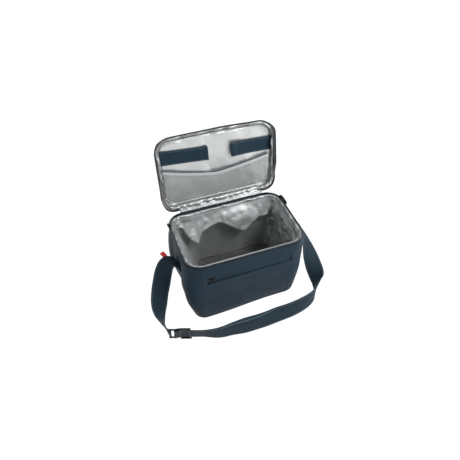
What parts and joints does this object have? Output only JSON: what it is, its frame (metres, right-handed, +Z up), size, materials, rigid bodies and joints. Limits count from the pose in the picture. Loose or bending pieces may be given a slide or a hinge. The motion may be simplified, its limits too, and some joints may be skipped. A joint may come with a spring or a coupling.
{
  "type": "insulated cooler bag",
  "caption": "Soft tapered insulated lunch cooler with a zipped padded lid standing open, crumpled foil lining, mesh lid pocket, front zip pocket and webbing shoulder strap.",
  "frame": {"origin": "centre of the flat base, on the surface that the bag stands on", "axes": "+Z up; +X to the bag's right seen from the front; the front with the zipped pocket faces -Y and the lid's hinge is at +Y"},
  "size_m": [0.4162, 0.3058, 0.3521],
  "materials": {
    "navy_fabric": "woven",
    "navy_webbing": "woven",
    "foil": "crumpled metallic film",
    "mesh": "open net",
    "foam": "closed-cell foam",
    "board": "satin",
    "pocket_lining": "woven",
    "zip_tape": "woven",
    "zip_teeth": "satin",
    "zip_metal": "satin black",
    "buckle": "moulded",
    "hook_loop": "napped",
    "red_label": "woven"
  },
  "bodies": {
    "root": {"outer_shell": "navy_fabric", "base_panel": "navy_fabric", "base_board": "board", "foam_wrap": "foam", "foam_base": "foam", "liner": "foil", "rim_lip": "foil", "body_zip_tape": "zip_tape", "body_zip_coil": "zip_teeth", "hinge_body_half": "navy_fabric", "pocket_bag": "pocket_lining", "front_zip_tapes": "zip_tape", "front_zip_coils": "zip_teeth", "strap_anchor_left": "navy_fabric", "strap_anchor_right": "navy_fabric", "strap_short": "navy_webbing", "strap_long": "navy_webbing", "strap_return": "navy_webbing", "strap_ring": "buckle", "red_tab": "red_label"},
    "lid": {"hinge_lid_half": "navy_fabric", "lid_top": "navy_fabric", "lid_gusset": "navy_fabric", "lid_foam": "foam", "lid_liner": "foil", "lid_lip": "foil", "lid_zip_tape": "zip_tape", "lid_zip_coil": "zip_teeth", "mesh_pocket": "mesh", "mesh_hem": "mesh", "loop_pad_left": "hook_loop", "loop_pad_right": "hook_loop"},
    "band_left": {"band_left": "navy_fabric", "hook_pad_left": "hook_loop"},
    "band_right": {"band_right": "navy_fabric", "hook_pad_right": "hook_loop"},
    "front_slider": {"front_slider": "zip_metal"},
    "front_pull": {"front_pull": "zip_metal"},
    "slider_left": {"slider_left": "zip_metal"},
    "pull_left": {"pull_left": "zip_metal"},
    "slider_right": {"slider_right": "zip_metal"},
    "pull_right": {"pull_right": "zip_metal"},
    "strap_slider": {"strap_slider": "buckle"}
  },
  "joints": [
    {"name": "lid_hinge", "type": "hinge", "parent": "root", "child": "lid", "pos_m": [0, 0.0908, 0.177], "axis": [-1, 0, 0], "range_deg": [-101, 75]},
    {"name": "band_left_flap", "type": "hinge", "parent": "lid", "child": "band_left", "pos_m": [-0.1215, 0.12554, 0.29861], "axis": [0, -0.1908, -0.9816], "range_deg": [0, 80]},
    {"name": "band_right_flap", "type": "hinge", "parent": "lid", "child": "band_right", "pos_m": [0.1215, 0.12363, 0.28879], "axis": [0, 0.1908, 0.9816], "range_deg": [0, 80]},
    {"name": "front_zip", "type": "slide", "parent": "root", "child": "front_slider", "axis": [1, 0, 0], "range_m": [0, 0.174]},
    {"name": "front_pull_swing", "type": "hinge", "parent": "front_slider", "child": "front_pull", "pos_m": [-0.084, -0.08854, 0.13098], "axis": [0, -0.0203, 0.9998], "range_deg": [0, 170]},
    {"name": "main_zip_left", "type": "slide", "parent": "root", "child": "slider_left", "axis": [0, -1, 0], "range_m": [0, 0.1]},
    {"name": "pull_left_swing", "type": "hinge", "parent": "slider_left", "child": "pull_left", "pos_m": [-0.13715, 0.057, 0.177], "axis": [0, 0, -1], "range_deg": [0, 170]},
    {"name": "main_zip_right", "type": "slide", "parent": "root", "child": "slider_right", "axis": [0, -1, 0], "range_m": [0, 0.1]},
    {"name": "pull_right_swing", "type": "hinge", "parent": "slider_right", "child": "pull_right", "pos_m": [0.13715, 0.057, 0.177], "axis": [0, 0, 1], "range_deg": [0, 170]},
    {"name": "strap_adjust", "type": "slide", "parent": "root", "child": "strap_slider", "axis": [0.9382, -0.3461, 0], "range_m": [0, 0.03]}
  ]
}
